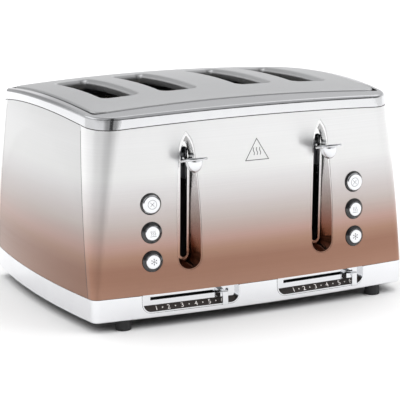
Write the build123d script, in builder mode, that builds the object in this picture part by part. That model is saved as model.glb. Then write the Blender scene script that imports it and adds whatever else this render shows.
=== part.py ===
from build123d import *
import os
from math import sqrt, sin, cos, radians, atan2, degrees

os.makedirs("parts", exist_ok=True)

# ---------------------------------------------------------------- driving dimensions (mm)
# Frame while modelling: X along the front face, Y from front to back, Z up,
# origin on the table under the middle of the housing. Y_SHIFT moves every
# finished piece so that the origin sits under the middle of the whole toaster.
FOOT_H = 9.35              # height of the rubber feet
BAND_TOP = 30.16           # top of the polished base band
SEAM_Z = 176.4             # seam between panels and hood, at the corners
HALF_W = 156.3             # half width of the base band at its corners
HALF_D = 126.3             # half depth of the base band at its corners
TAPER_W = 8.22             # lean of each side panel over the panel height
TAPER_D = 3.70             # lean of front and rear over the panel height
BOW_SIDE = 8.2             # how far each side bows out of its corner line
BOW_FRONT = 8.86           # how far front and rear bow out
CORNER_LOW = 7.3           # vertical corner radius at the base band
CORNER_TOP = 27.26         # vertical corner radius at the seam
BULGE_SIDE = 1.4           # swelling of the side panels at mid height
BULGE_FRONT = 0.8          # swelling of the front and rear panels at mid height
SKIN = 1.0                 # sheet thickness of the panels
GAP = 0.35                 # seam gap between neighbouring covers

SEAM_CROWN, SEAM_A, SEAM_B = 192.25, 0.000288, 0.000658   # domed seam surface
TOP_CROWN, TOP_A, TOP_B = 200.04, 0.000248, 0.000521      # domed hood surface
PLATE_PROUD = 1.0          # slot plate stands proud of the hood
PLATE_HX, PLATE_HY, PLATE_R = 141.3, 105.6, 13.0
PLATE_BOW = 3.0
PLATE_T = 1.2
LIP_DEPTH = 9.0
LIP_R = 4.4

SLOT_X = (-96.7, -38.3, 38.3, 96.7)   # bread slot centres
SLOT_W_OUT = 40.4                     # slot width over the rolled lips
SLOT_Y0, SLOT_Y1 = -61.6, 74.0        # slot ends over the rolled lips
SLOT_W_IN = SLOT_W_OUT - 2 * LIP_R
SLOT_R_IN = 6.0

LEVER_X = 66.7
LEVER_SLOT_Z0, LEVER_SLOT_Z1, LEVER_SLOT_W = 57.6, 158.1, 6.6
LEVER_TRAVEL, LEVER_LIFT = 80.0, 6.0
KNOB_Z = 149.2
KNOB_Y = -146.0
RECESS_Z0, RECESS_Z1, RECESS_HW = 49.1, 171.7, 11.4

BUTTON_X = 101.84
BUTTON_Z = (111.2, 85.8, 60.4)
BUTTON_R = (8.15, 6.55, 6.55)
RING_R = 9.35
BUTTON_PROUD = 3.0

WIN_X0, WIN_X1, WIN_Z0, WIN_R = 18.8, 112.6, 13.7, 9.0
WIN_C, WIN_HALF = (WIN_X0 + WIN_X1) / 2, (WIN_X1 - WIN_X0) / 2
SLIDER_X = {-1: -35.3, 1: 98.9}       # both browning sliders stand near the dark end
SLIDER_SLOT_Z0, SLIDER_SLOT_Z1, SLIDER_SLOT_HALF = 24.3, 27.1, 37.4

FRONT_PLATE_Y, REAR_PLATE_Y, SHEET = -92.0, 88.4, 1.2
CHASSIS_TOP = 180.0
CARRIAGE_X = 67.5
RACK_TOP = 136.0
ROD_DX, ROD_Y, ROD_R = 12.0, -106.0, 2.5
GUIDE_DX, GUIDE_Z0, GUIDE_Z1, GUIDE_PIN_R = 18.0, 46.0, 178.0, 1.5
BASE_Z0, BASE_Z1 = 10.0, 12.0
TRAY_Z0, TRAY_Z1, TRAY_X0, TRAY_X1 = 14.0, 21.0, 13.0, 136.0
TRAY_WIN = (11.5, 137.4, 12.0, 23.0)

Y_SHIFT = 8.50             # housing centre to bounding-box centre
to_row_frame = Location((0, Y_SHIFT, 0))


# ---------------------------------------------------------------- shared geometry
def level(z):
    return Plane.XY.offset(z)


def lean(z):
    """share of the panel height reached at z"""
    return (z - BAND_TOP) / (SEAM_Z - BAND_TOP)


def halves(z, inset=0.0):
    t = lean(z) if z > BAND_TOP else 0.0
    swell = 4 * t * (1 - t)
    return (HALF_W - TAPER_W * t + BULGE_SIDE * swell - inset,
            HALF_D - TAPER_D * t + BULGE_FRONT * swell - inset)


def corner_radius(z, inset=0.0):
    t = lean(z) if z > BAND_TOP else 0.0
    return max(CORNER_LOW + (CORNER_TOP - CORNER_LOW) * t - inset, 3.0)


def front_y(x, z):
    """y of the outer front surface at (x, z)"""
    hw, hd = halves(z)
    return -(hd + BOW_FRONT * (1 - (x / hw) ** 2))


def outline(z, inset=0.0):
    """rounded plan outline of the housing at height z"""
    hw, hd = halves(z, inset)
    with BuildSketch(level(z)) as plan:
        with BuildLine():
            ThreePointArc((-hw, -hd), (0, -hd - BOW_FRONT), (hw, -hd))
            ThreePointArc((hw, -hd), (hw + BOW_SIDE, 0), (hw, hd))
            ThreePointArc((hw, hd), (0, hd + BOW_FRONT), (-hw, hd))
            ThreePointArc((-hw, hd), (-hw - BOW_SIDE, 0), (-hw, -hd))
        make_face()
        fillet(plan.vertices(), corner_radius(z, inset))
    return plan.sketch


def envelope(inset, z_low, z_high, steps=6):
    """solid bounded by the leaning, swelling side walls"""
    with BuildPart() as body:
        for i in range(steps):
            z = z_low + (z_high - z_low) * i / (steps - 1)
            with BuildSketch(level(z)):
                add(outline(z, inset).moved(Location((0, 0, -z))))
        loft()
    return body.part


def under_dome(crown, a, b):
    """everything below a gently domed surface, crown - a*x^2 - b*y^2"""
    def height(x, y):
        return crown - a * x * x - b * y * y

    with BuildPart() as dome:
        for x in (-200, -100, 0, 100, 200):
            with BuildSketch(Plane.YZ.offset(x)):
                with BuildLine():
                    ThreePointArc((-200, height(x, 200)), (0, height(x, 0)), (200, height(x, 200)))
                    Polyline((200, height(x, 200)), (200, -20), (-200, -20), (-200, height(x, 200)))
                make_face()
        loft()
    return dome.part


def side_cut(sign, y_low, y_top, margin):
    """wedge in front of (sign -1) or behind (sign +1) a leaning seam plane"""
    slope = (y_top - y_low) / (SEAM_Z - BAND_TOP)
    y0, y1 = y_low - slope * BAND_TOP + margin, y_low + slope * (230 - BAND_TOP) + margin
    with BuildPart() as wedge:
        with BuildSketch(Plane.YZ):
            with BuildLine():
                Polyline((sign * 260, 0), (y0, 0), (y1, 230), (sign * 260, 230), close=True)
            make_face()
        extrude(amount=230, both=True)
    return wedge.part


def teardrop(half_w, z0, z1, shape=(1.0, 1.02, 0.89, 0.675, 0.45)):
    """closed drop outline in local x and z: round foot, long sides, pointed tip"""
    h = z1 - z0
    with BuildSketch(Plane.XY) as drop:
        with BuildLine() as side:
            foot = RadiusArc((0, z0), (half_w, z0 + half_w), -half_w)
            Spline((half_w, z0 + half_w), (half_w * shape[1], z0 + 0.25 * h),
                   (half_w * shape[2], z0 + 0.58 * h), (half_w * shape[3], z0 + 0.83 * h),
                   (half_w * shape[4], z0 + 0.934 * h), (0.25, z1),
                   tangents=((0, 1), (-0.75, 1)))
            Line((0.25, z1), (0, z1))
            mirror(about=Plane.YZ)
        make_face()
    return drop.sketch


def front_plane(x, depth_y):
    """plane facing the front, local x to the right, local y up"""
    return Plane((x, depth_y, 0), x_dir=(1, 0, 0), z_dir=(0, -1, 0))


envelope_outer = envelope(0.0, BAND_TOP, 206.0)
envelope_inner = envelope(SKIN, BAND_TOP, 206.0)
seam_low = under_dome(SEAM_CROWN - GAP / 2, SEAM_A, SEAM_B)
seam_high = under_dome(SEAM_CROWN + GAP / 2, SEAM_A, SEAM_B)
hood_top = under_dome(TOP_CROWN, TOP_A, TOP_B)
hood_inside = under_dome(TOP_CROWN - 2.0, TOP_A, TOP_B)
plate_top = under_dome(TOP_CROWN + PLATE_PROUD, TOP_A, TOP_B)
plate_under = under_dome(TOP_CROWN + PLATE_PROUD - PLATE_T, TOP_A, TOP_B)
plate_bottom = under_dome(TOP_CROWN + PLATE_PROUD - LIP_DEPTH, TOP_A, TOP_B)
PIECES = {}

# ---------------------------------------------------------------- wrap and side panels
for name, sign in (("front_wrap_panel", -1), ("rear_wrap_panel", 1)):
    with BuildPart() as wrap_panel:
        add(envelope_outer)
        add(envelope_inner, mode=Mode.SUBTRACT)
        with BuildSketch(level(BAND_TOP - 1)):
            Rectangle(400, 400)
        extrude(amount=1 + GAP, mode=Mode.SUBTRACT)
        add(seam_low, mode=Mode.INTERSECT)
        add(side_cut(sign, sign * 116.5, sign * 95.5, sign * GAP / 2), mode=Mode.INTERSECT)
        if sign < 0:
            for s in (-1, 1):
                with BuildSketch(front_plane(s * LEVER_X, -160)):
                    add(teardrop(RECESS_HW + 0.25, RECESS_Z0 - 0.25, RECESS_Z1 + 0.3))
                extrude(amount=-50, mode=Mode.SUBTRACT)
                for z in BUTTON_Z:
                    with BuildSketch(front_plane(s * BUTTON_X, -160)):
                        with Locations((0, z)):
                            Circle(RING_R + 0.35)
                    extrude(amount=-50, mode=Mode.SUBTRACT)
    wrap_panel.part.label = name
    PIECES[name] = wrap_panel.part

for name, s in (("left_side_panel", -1), ("right_side_panel", 1)):
    with BuildPart() as side_panel:
        add(envelope_outer)
        add(envelope_inner, mode=Mode.SUBTRACT)
        with BuildSketch(level(BAND_TOP - 1)):
            Rectangle(400, 400)
        extrude(amount=1 + GAP, mode=Mode.SUBTRACT)
        add(seam_low, mode=Mode.INTERSECT)
        add(side_cut(-1, -116.5, -95.5, GAP / 2), mode=Mode.SUBTRACT)
        add(side_cut(1, 116.5, 95.5, -GAP / 2), mode=Mode.SUBTRACT)
        with BuildSketch(Plane.YZ.offset(0)):
            Rectangle(500, 600)
        extrude(amount=-s * 400, mode=Mode.SUBTRACT)
    side_panel.part.label = name
    PIECES[name] = side_panel.part

# ---------------------------------------------------------------- polished hood
with BuildPart() as top_hood:
    add(envelope_outer)
    add(hood_top, mode=Mode.INTERSECT)
    add(seam_high, mode=Mode.SUBTRACT)
    fillet(top_hood.faces().sort_by(Axis.Z)[-1].edges(), 3.0)
    with BuildPart(mode=Mode.PRIVATE) as cavity:
        add(envelope(2.0, BAND_TOP, 206.0))
        add(hood_inside, mode=Mode.INTERSECT)
    add(cavity.part, mode=Mode.SUBTRACT)
    with BuildSketch(level(150)) as opening:
        hx, hy = PLATE_HX + 2.1, PLATE_HY + 0.45
        with BuildLine():
            Line((-hx, -hy), (hx, -hy))
            ThreePointArc((hx, -hy), (hx + PLATE_BOW, 0), (hx, hy))
            Line((hx, hy), (-hx, hy))
            ThreePointArc((-hx, hy), (-hx - PLATE_BOW, 0), (-hx, -hy))
        make_face()
        fillet(opening.vertices(), 5.0)
    extrude(amount=80, mode=Mode.SUBTRACT)
top_hood.part.label = "top_hood"
PIECES["top_hood"] = top_hood.part


# ---------------------------------------------------------------- slot plate with rolled lips
def plate_outline(inset):
    hx, hy = PLATE_HX - inset, PLATE_HY - inset
    with BuildSketch(Plane.XY) as rim:
        with BuildLine():
            Line((-hx, -hy), (hx, -hy))
            ThreePointArc((hx, -hy), (hx + PLATE_BOW, 0), (hx, hy))
            Line((hx, hy), (-hx, hy))
            ThreePointArc((-hx, hy), (-hx - PLATE_BOW, 0), (-hx, -hy))
        make_face()
        fillet(rim.vertices(), PLATE_R - inset)
    return rim.sketch


def plate_block(inset, ceiling, lip_r, grow):
    """domed block with the bread slots cut and their top edges rolled"""
    with BuildPart() as block:
        with BuildSketch(level(170)):
            add(plate_outline(inset))
        extrude(amount=50)
        add(ceiling, mode=Mode.INTERSECT)
        with BuildSketch(level(160)):
            with Locations(*[(x, (SLOT_Y0 + SLOT_Y1) / 2) for x in SLOT_X]):
                RectangleRounded(SLOT_W_IN + 2 * grow, SLOT_Y1 - SLOT_Y0 - 2 * LIP_R + 2 * grow, SLOT_R_IN + grow)
        extrude(amount=60, mode=Mode.SUBTRACT)
        roof = block.faces().sort_by(Axis.Z)[-1]
        inner = [e for w in roof.inner_wires() for e in w.edges()]
        fillet(inner, lip_r)
        roof = block.faces().sort_by(Axis.Z)[-1]
        fillet(roof.outer_wire().edges(), max(1.5 - inset, 0.3))
    return block.part


with BuildPart() as slot_plate:
    add(plate_block(0.0, plate_top, LIP_R, 0.0))
    add(plate_block(PLATE_T, plate_under, LIP_R - PLATE_T, PLATE_T), mode=Mode.SUBTRACT)
    add(plate_bottom, mode=Mode.SUBTRACT)
slot_plate.part.label = "slot_plate"
PIECES["slot_plate"] = slot_plate.part


# ---------------------------------------------------------------- browning windows: local frames
def window_plane(s):
    """plane tangent to the base band at the window centre, local y is up, z out"""
    x = s * WIN_C
    slope = 2 * BOW_FRONT * x / HALF_W ** 2
    n = sqrt(1 + slope ** 2)
    return Plane((x, front_y(x, 20), 0), x_dir=(1 / n, slope / n, 0), z_dir=(slope / n, -1 / n, 0))


def window_outline(inset, top=BAND_TOP + 0.4):
    """window: square upper corners at the band top, round lower corners"""
    half, r = WIN_HALF - inset, WIN_R - inset
    z0 = WIN_Z0 + inset
    with BuildSketch(Plane.XY) as win:
        with BuildLine():
            Polyline((-half, z0 + r), (-half, top), (half, top), (half, z0 + r))
            RadiusArc((half, z0 + r), (half - r, z0), r)
            Line((half - r, z0), (-half + r, z0))
            RadiusArc((-half + r, z0), (-half, z0 + r), r)
        make_face()
    return win.sketch


def cross_plane(s):
    """section plane across the window: local x is outward, local y is up"""
    w = window_plane(s)
    return Plane(w.origin, x_dir=w.z_dir, z_dir=-w.x_dir)


# ---------------------------------------------------------------- base band
with BuildPart() as base_band:
    with BuildSketch(level(FOOT_H)):
        add(outline(0).moved(Location((0, 0, 0))))
    extrude(amount=BAND_TOP - FOOT_H)
    fillet(base_band.faces().sort_by(Axis.Z)[0].edges(), 1.6)
    with BuildSketch(level(FOOT_H - 1)):
        add(outline(0, 2.5))
    extrude(amount=40, mode=Mode.SUBTRACT)
    for s in (-1, 1):
        w = window_plane(s)
        with BuildSketch(w.offset(-12)):
            add(window_outline(0.0, BAND_TOP + 5))
        extrude(amount=24, mode=Mode.SUBTRACT)
        x0, x1, z0, z1 = TRAY_WIN
        with BuildSketch(Plane((0, 110, 0), x_dir=(1, 0, 0), z_dir=(0, 1, 0)).offset(0)):
            with Locations((s * (x0 + x1) / 2, -(z0 + z1) / 2)):
                RectangleRounded(x1 - x0, z1 - z0, 2.0)
        extrude(amount=40, mode=Mode.SUBTRACT)
    with BuildSketch(Plane((0, 110, 0), x_dir=(1, 0, 0), z_dir=(0, 1, 0))):
        with Locations((0, -19.0)):
            Circle(5.8)
    extrude(amount=40, mode=Mode.SUBTRACT)
base_band.part.label = "base_band"
PIECES["base_band"] = base_band.part

# ---------------------------------------------------------------- base plate, feet, screws
SCREW_XY = ((-146, -60), (-146, 60), (146, -60), (146, 60), (0, -105), (0, 70))
with BuildPart() as base_plate:
    with BuildSketch(level(BASE_Z0)):
        add(outline(0, 2.9))
    extrude(amount=BASE_Z1 - BASE_Z0)
    with BuildSketch(level(BASE_Z1)):
        with Locations(*SCREW_XY):
            Circle(3.8)
    extrude(amount=8)
    with BuildSketch(level(BASE_Z0 - 1)):
        with Locations(*SCREW_XY):
            Circle(1.6)
    extrude(amount=10, mode=Mode.SUBTRACT)
    with BuildSketch(level(BASE_Z0)):
        with Locations(*[(s * x, y) for s in (-1, 1) for x in (40, 56, 72, 88, 104) for y in (-60, -20, 20, 60)]):
            SlotOverall(26, 3.2, rotation=90)
    extrude(amount=2, mode=Mode.SUBTRACT)
base_plate.part.label = "base_plate"
PIECES["base_plate"] = base_plate.part

FOOT_XY = ((-127, -121.5), (127, -121.5), (-127, 121.5), (127, 121.5))
with BuildPart() as rubber_feet:
    with BuildSketch(level(0)):
        with Locations(*FOOT_XY):
            Circle(7.0)
    extrude(amount=FOOT_H)
    fillet(rubber_feet.edges().group_by(Axis.Z)[0], 0.9)
    with BuildSketch(level(FOOT_H)):
        with Locations(*[(x * 0.985, y * 0.985) for x, y in FOOT_XY]):
            Circle(4.0)
    extrude(amount=BASE_Z0 - FOOT_H)
rubber_feet.part.label = "rubber_feet"
PIECES["rubber_feet"] = rubber_feet.part

with BuildPart() as base_screws:
    with BuildSketch(level(BASE_Z0 - 1.8)):
        with Locations(*SCREW_XY):
            Circle(2.8)
    extrude(amount=1.8)
    fillet(base_screws.edges().group_by(Axis.Z)[0], 0.9)
    with BuildSketch(level(BASE_Z0)):
        with Locations(*SCREW_XY):
            Circle(1.5)
    extrude(amount=8.6)
    with BuildSketch(level(BASE_Z0 - 1.8)):
        with Locations(*SCREW_XY):
            Rectangle(3.0, 0.7)
            Rectangle(0.7, 3.0)
    extrude(amount=0.9, mode=Mode.SUBTRACT)
base_screws.part.label = "base_screws"
PIECES["base_screws"] = base_screws.part

# ---------------------------------------------------------------- lever recesses in the front panel
recess_skin = envelope(0.2, BAND_TOP, 206.0)
FLOOR_LEAN = atan2(6.2, 107.5)        # the pocket floor stands upright-leaning, deeper at its foot


def pocket_floor(s, behind=0.0):
    """leaning plane of the pocket floor, facing the front"""
    return Plane((s * LEVER_X, -115.8 + behind, 0), x_dir=(1, 0, 0),
                 z_dir=(0, -cos(FLOOR_LEAN), -sin(FLOOR_LEAN)))


for name, s in (("left_lever_recess", -1), ("right_lever_recess", 1)):
    with BuildPart() as lever_recess:
        with BuildSketch(front_plane(s * LEVER_X, -114.0)):
            add(teardrop(RECESS_HW, RECESS_Z0, RECESS_Z1))
        extrude(amount=26.5)
        add(recess_skin, mode=Mode.INTERSECT)
        with BuildSketch(pocket_floor(s, 2.6)):
            with Locations((0, 110)):
                Rectangle(60, 220)
        extrude(amount=-30, mode=Mode.SUBTRACT)
        with BuildSketch(front_plane(s * LEVER_X, -132.0)):
            add(teardrop(RECESS_HW - 0.7, RECESS_Z0 + 0.7, RECESS_Z1 - 1.4))
        extrude(amount=6, mode=Mode.SUBTRACT)
        with BuildSketch(front_plane(s * LEVER_X, -132.0)):
            add(teardrop(RECESS_HW - 0.7, RECESS_Z0 + 0.7, RECESS_Z1 - 1.4))
        with BuildSketch(pocket_floor(s)):
            add(teardrop(5.2, 55.5, 163.0, (1.0, 1.0, 0.98, 0.9, 0.6)))
        loft(mode=Mode.SUBTRACT)
        with BuildSketch(front_plane(s * LEVER_X, -110)):
            with Locations((0, (LEVER_SLOT_Z0 + LEVER_SLOT_Z1) / 2)):
                SlotOverall(LEVER_SLOT_Z1 - LEVER_SLOT_Z0, LEVER_SLOT_W, rotation=90)
        extrude(amount=30, mode=Mode.SUBTRACT)
    lever_recess.part.label = name
    PIECES[name] = lever_recess.part

# ---------------------------------------------------------------- lever knobs: oval thumb plate over a bowl
KNOB_TILT = radians(13)               # the thumb plate rises towards the user
for name, s in (("left_lever_knob", -1), ("right_lever_knob", 1)):
    with BuildPart() as lever_knob:
        thumb = Plane((s * LEVER_X, KNOB_Y, KNOB_Z), x_dir=(1, 0, 0), z_dir=(0, sin(KNOB_TILT), cos(KNOB_TILT)))
        with BuildSketch(thumb.offset(-1.15)):
            Ellipse(12.0, 11.5)
        extrude(amount=2.3)
        fillet(lever_knob.edges().filter_by(GeomType.LINE, reverse=True), 0.9)
        bowl_axis = Plane((s * LEVER_X, KNOB_Y + cos(KNOB_TILT) - 0.5 * sin(KNOB_TILT),
                           KNOB_Z - sin(KNOB_TILT) - 0.5 * cos(KNOB_TILT)),
                          x_dir=(1, 0, 0), z_dir=(0, -cos(KNOB_TILT), sin(KNOB_TILT)))
        with BuildSketch(bowl_axis):
            with BuildLine():
                EllipticalCenterArc((0, 0), 7.6, 10.6, start_angle=-90, arc_size=90)
                Polyline((7.6, 0), (0, 0), (0, -10.6))
            make_face()
        revolve(axis=Axis(bowl_axis.origin, thumb.z_dir))
        with BuildSketch(Plane((s * LEVER_X, -119.5, KNOB_Z - 0.9), x_dir=(1, 0, 0), z_dir=(0, -1, 0))):
            RectangleRounded(4.6, 2.4, 0.6)
        extrude(amount=19)
    lever_knob.part.label = name
    PIECES[name] = lever_knob.part

# ---------------------------------------------------------------- carriages behind the front panel
BR_Z0, BR_Z1 = 126.0, 154.0
for name, s in (("left_carriage_bracket", -1), ("right_carriage_bracket", 1)):
    cx = s * CARRIAGE_X
    with BuildPart() as carriage_bracket:
        with BuildSketch(Plane((cx, -99.0, 0), x_dir=(1, 0, 0), z_dir=(0, -1, 0))) as face:
            with Locations((0, (BR_Z0 + BR_Z1) / 2)):
                Rectangle(40, BR_Z1 - BR_Z0)
            with Locations((0, 132.5)):
                Rectangle(67, 13)
            fillet(face.vertices(), 2.0)
        extrude(amount=1.5)
        with BuildSketch(level(BR_Z0)):
            with Locations(*[(cx + d, ROD_Y) for d in (-ROD_DX, ROD_DX)]):
                Circle(4.5)
            with Locations(*[(cx + d, -102.5) for d in (-ROD_DX, ROD_DX)]):
                Rectangle(9.0, 5.0)
        extrude(amount=BR_Z1 - BR_Z0)
        with BuildSketch(level(BR_Z0 - 1)):
            with Locations(*[(cx + d, ROD_Y) for d in (-ROD_DX, ROD_DX)]):
                Circle(ROD_R + 0.06)
        extrude(amount=40, mode=Mode.SUBTRACT)
        with BuildSketch(Plane((s * LEVER_X, -99.0, KNOB_Z), x_dir=(1, 0, 0), z_dir=(0, -1, 0))):
            Rectangle(4.6, 3.4)
        extrude(amount=20.5)
        with BuildSketch(level(BR_Z0)):
            with Locations((cx, -96.5)):
                Rectangle(16, 5.0)
        extrude(amount=1.6)
    carriage_bracket.part.label = name
    PIECES[name] = carriage_bracket.part

for name, s in (("left_bread_racks", -1), ("right_bread_racks", 1)):
    centres = [x for x in SLOT_X if x * s > 0]
    with BuildPart() as bread_racks:
        for c in centres:
            with BuildSketch(Plane((c - 0.8, 0, 0), x_dir=(0, 1, 0), z_dir=(1, 0, 0))):
                with BuildLine():
                    Polyline((-99.0, 126.5), (-99.0, 138.0), (-92.5, 138.0), (-88, RACK_TOP), (86, RACK_TOP),
                             (94, RACK_TOP - 1.5), (94, 129.0), (84, 126.5), close=True)
                make_face()
            extrude(amount=1.6)
            with BuildSketch(level(RACK_TOP - 2.2)):
                with Locations(*[(c, -52 + 17 * i) for i in range(8)]):
                    SlotOverall(18, 2.4)
            extrude(amount=2.0)
    bread_racks.part.label = name
    PIECES[name] = bread_racks.part

with BuildPart() as guide_rods:
    with BuildSketch(level(25.0)):
        with Locations(*[(s * CARRIAGE_X + d, ROD_Y) for s in (-1, 1) for d in (-ROD_DX, ROD_DX)]):
            Circle(ROD_R)
    extrude(amount=183.0 - 25.0)
    chamfer(guide_rods.edges().group_by(Axis.Z)[-1], 0.6)
guide_rods.part.label = "guide_rods"
PIECES["guide_rods"] = guide_rods.part

with BuildPart() as rod_mounts:
    for z in (26.0, 178.8):
        with BuildSketch(level(z)) as tab:
            for s in (-1, 1):
                with Locations((s * CARRIAGE_X, (-111.5 + FRONT_PLATE_Y) / 2)):
                    Rectangle(36, 111.5 + FRONT_PLATE_Y)
            fillet(tab.vertices().group_by(Axis.Y)[0], 4.0)
        extrude(amount=3.0)
    with BuildSketch(level(20)):
        with Locations(*[(s * CARRIAGE_X + d, ROD_Y) for s in (-1, 1) for d in (-ROD_DX, ROD_DX)]):
            Circle(ROD_R + 0.05)
    extrude(amount=170, mode=Mode.SUBTRACT)
rod_mounts.part.label = "rod_mounts"
PIECES["rod_mounts"] = rod_mounts.part

for name, s in (("left_return_spring", -1), ("right_return_spring", 1)):
    with BuildPart() as return_spring:
        with BuildSketch(level(29.1)):
            with Locations((s * (CARRIAGE_X + ROD_DX), ROD_Y)):
                Circle(4.3)
                Circle(3.0, mode=Mode.SUBTRACT)
        extrude(amount=BR_Z0 - 0.1 - 29.1)
    return_spring.part.label = name
    PIECES[name] = return_spring.part

with BuildPart() as holding_magnets:
    for s in (-1, 1):
        with BuildSketch(level(29.1)):
            with Locations((s * CARRIAGE_X, -95.2)):
                Rectangle(6.5, 6.4)
        extrude(amount=15.2)
        with BuildSketch(level(29.1)):
            with Locations((s * CARRIAGE_X, -95.2)):
                Rectangle(19, 6.4)
        extrude(amount=2.0)
        with BuildSketch(level(42.3)):
            with Locations((s * CARRIAGE_X, -95.2)):
                Rectangle(19, 6.4)
        extrude(amount=2.0)
        with BuildSketch(level(31.1)):
            with Locations((s * CARRIAGE_X, -95.2)):
                RectangleRounded(16, 6.3, 2.5)
        extrude(amount=11.2)
holding_magnets.part.label = "holding_magnets"
PIECES["holding_magnets"] = holding_magnets.part

# ---------------------------------------------------------------- inner chassis round the toasting chamber
PIN_X = [c + d for c in SLOT_X for d in (-GUIDE_DX, GUIDE_DX)]
for name, y, notch in (("front_chassis_plate", FRONT_PLATE_Y, False), ("rear_chassis_plate", REAR_PLATE_Y, True)):
    plane = Plane((0, y, 0), x_dir=(1, 0, 0), z_dir=(0, -1, 0))
    with BuildPart() as chassis_plate:
        with BuildSketch(plane):
            with Locations((0, (BASE_Z1 + 0.05 + CHASSIS_TOP) / 2)):
                Rectangle(290, CHASSIS_TOP - BASE_Z1 - 0.05)
            with Locations(*[(x, 96.0) for x in SLOT_X]):
                SlotOverall(112, 4.0, rotation=90, mode=Mode.SUBTRACT)
            with Locations(*[(x, GUIDE_Z0) for x in PIN_X]):
                Circle(GUIDE_PIN_R + 0.06, mode=Mode.SUBTRACT)
            if notch:
                for s in (-1, 1):
                    with Locations((s * (9.5 + 139.0) / 2, 17.0)):
                        Rectangle(139.0 - 9.5, 14.0, mode=Mode.SUBTRACT)
                with Locations((0, 110)):
                    with GridLocations(12, 12, 3, 8):
                        Circle(2.2, mode=Mode.SUBTRACT)
        extrude(amount=-SHEET)
    chassis_plate.part.label = name
    PIECES[name] = chassis_plate.part

with BuildPart() as end_heat_shields:
    for s in (-1, 1):
        with BuildSketch(Plane((s * 138.4, 0, 0), x_dir=(0, 1, 0), z_dir=(1, 0, 0))) as sheet:
            with Locations(((FRONT_PLATE_Y + SHEET + REAR_PLATE_Y) / 2, (12.05 + 176) / 2)):
                Rectangle(REAR_PLATE_Y - FRONT_PLATE_Y - SHEET - 0.2, 176 - 12.05)
            with Locations((-1.2, 150)):
                with GridLocations(16, 12, 8, 3):
                    SlotOverall(10, 3, mode=Mode.SUBTRACT)
        extrude(amount=0.45, both=True)
end_heat_shields.part.label = "end_heat_shields"
PIECES["end_heat_shields"] = end_heat_shields.part

BOARD_X = (-126.0, -67.5, -8.0, 8.0, 67.5, 126.0)
with BuildPart() as heater_boards:
    for x in BOARD_X:
        with BuildSketch(Plane((x, 0, 0), x_dir=(0, 1, 0), z_dir=(1, 0, 0))):
            with Locations(((FRONT_PLATE_Y + SHEET + REAR_PLATE_Y) / 2, 105)):
                Rectangle(REAR_PLATE_Y - FRONT_PLATE_Y - SHEET - 0.2, 142)
        extrude(amount=0.5, both=True)
heater_boards.part.label = "heater_boards"
PIECES["heater_boards"] = heater_boards.part

RIBBON_Z = [44 + 13.5 * i for i in range(10)]
with BuildPart() as heating_ribbons:
    for x in BOARD_X:
        for z in RIBBON_Z:
            with BuildSketch(level(z)):
                with Locations((x, 4)):
                    Rectangle(1.8, 150)
                    Rectangle(1.2, 149.4, mode=Mode.SUBTRACT)
            extrude(amount=1.6)
    for x in BOARD_X:
        with BuildSketch(Plane((x, 0, 0), x_dir=(0, 1, 0), z_dir=(1, 0, 0))):
            with Locations((4, 105)):
                Rectangle(200, 144)
        extrude(amount=0.6, both=True, mode=Mode.SUBTRACT)
heating_ribbons.part.label = "heating_ribbons"
PIECES["heating_ribbons"] = heating_ribbons.part

# ---------------------------------------------------------------- bread guides: wire cages that swing in
guide_names = []
for i, c in enumerate(SLOT_X):
    for side, d in (("left", -GUIDE_DX), ("right", GUIDE_DX)):
        name = f"slot{i + 1}_{side}_bread_guide"
        guide_names.append(name)
        x = c + d
        with BuildPart() as bread_guide:
            with BuildSketch(Plane((x, -94.5, GUIDE_Z0), x_dir=(1, 0, 0), z_dir=(0, 1, 0))):
                Circle(GUIDE_PIN_R)
            extrude(amount=186.5)
            with BuildSketch(level(GUIDE_Z0)):
                with Locations(*[(x, -62 + 17.25 * k) for k in range(9)]):
                    Circle(0.95)
            extrude(amount=GUIDE_Z1 - GUIDE_Z0)
            for z in (GUIDE_Z1, 82.0):
                with BuildSketch(Plane((x, -62.9, z), x_dir=(1, 0, 0), z_dir=(0, 1, 0))):
                    Circle(1.1)
                extrude(amount=139.8)
        bread_guide.part.label = name
        PIECES[name] = bread_guide.part


# ---------------------------------------------------------------- push buttons and their collars
def button_plane(s, z):
    """plane on the front surface at a button, facing out"""
    x, e = s * BUTTON_X, 0.5
    dx = (front_y(x + e, z) - front_y(x - e, z)) / (2 * e)
    dz = (front_y(x, z + e) - front_y(x, z - e)) / (2 * e)
    n = sqrt(1 + dx * dx + dz * dz)
    return Plane((x, front_y(x, z), z), x_dir=(1 / n, dx / n, 0), z_dir=(dx / n, -1 / n, dz / n))


BUTTON_NAMES = ("cancel", "reheat", "defrost")
for side, s in (("left", -1), ("right", 1)):
    with BuildPart() as button_rings:
        for z, r in zip(BUTTON_Z, BUTTON_R):
            p = button_plane(s, z)
            with BuildSketch(p.offset(-3.2)):
                Circle(RING_R)
            extrude(amount=3.9)
            with BuildSketch(p.offset(0.69)):
                Circle(RING_R)
            with BuildSketch(p.offset(0.70 + (1.5 if r < 8 else 0.5))):
                Circle(r + 0.8 if r < 8 else r + 0.7)
            loft()
            with BuildSketch(p.offset(-6)):
                Circle(r + 0.28)
            extrude(amount=12, mode=Mode.SUBTRACT)
    button_rings.part.label = f"{side}_button_rings"
    PIECES[f"{side}_button_rings"] = button_rings.part
    for word, z, r in zip(BUTTON_NAMES, BUTTON_Z, BUTTON_R):
        p = button_plane(s, z)
        name = f"{side}_{word}_button"
        with BuildPart() as push_button:
            with BuildSketch(p.offset(-3.5)):
                Circle(r)
            extrude(amount=3.5 + BUTTON_PROUD)
            fillet(push_button.faces().sort_by(Axis.Y)[0].edges(), 0.9 if r < 8 else 1.5)
            with BuildSketch(p.offset(-4.7)):
                Circle(r + 1.1)
            extrude(amount=1.2)
            with BuildSketch(p.offset(-12.6)):
                Circle(2.6)
            extrude(amount=8.2)
        push_button.part.label = name
        PIECES[name] = push_button.part

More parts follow.
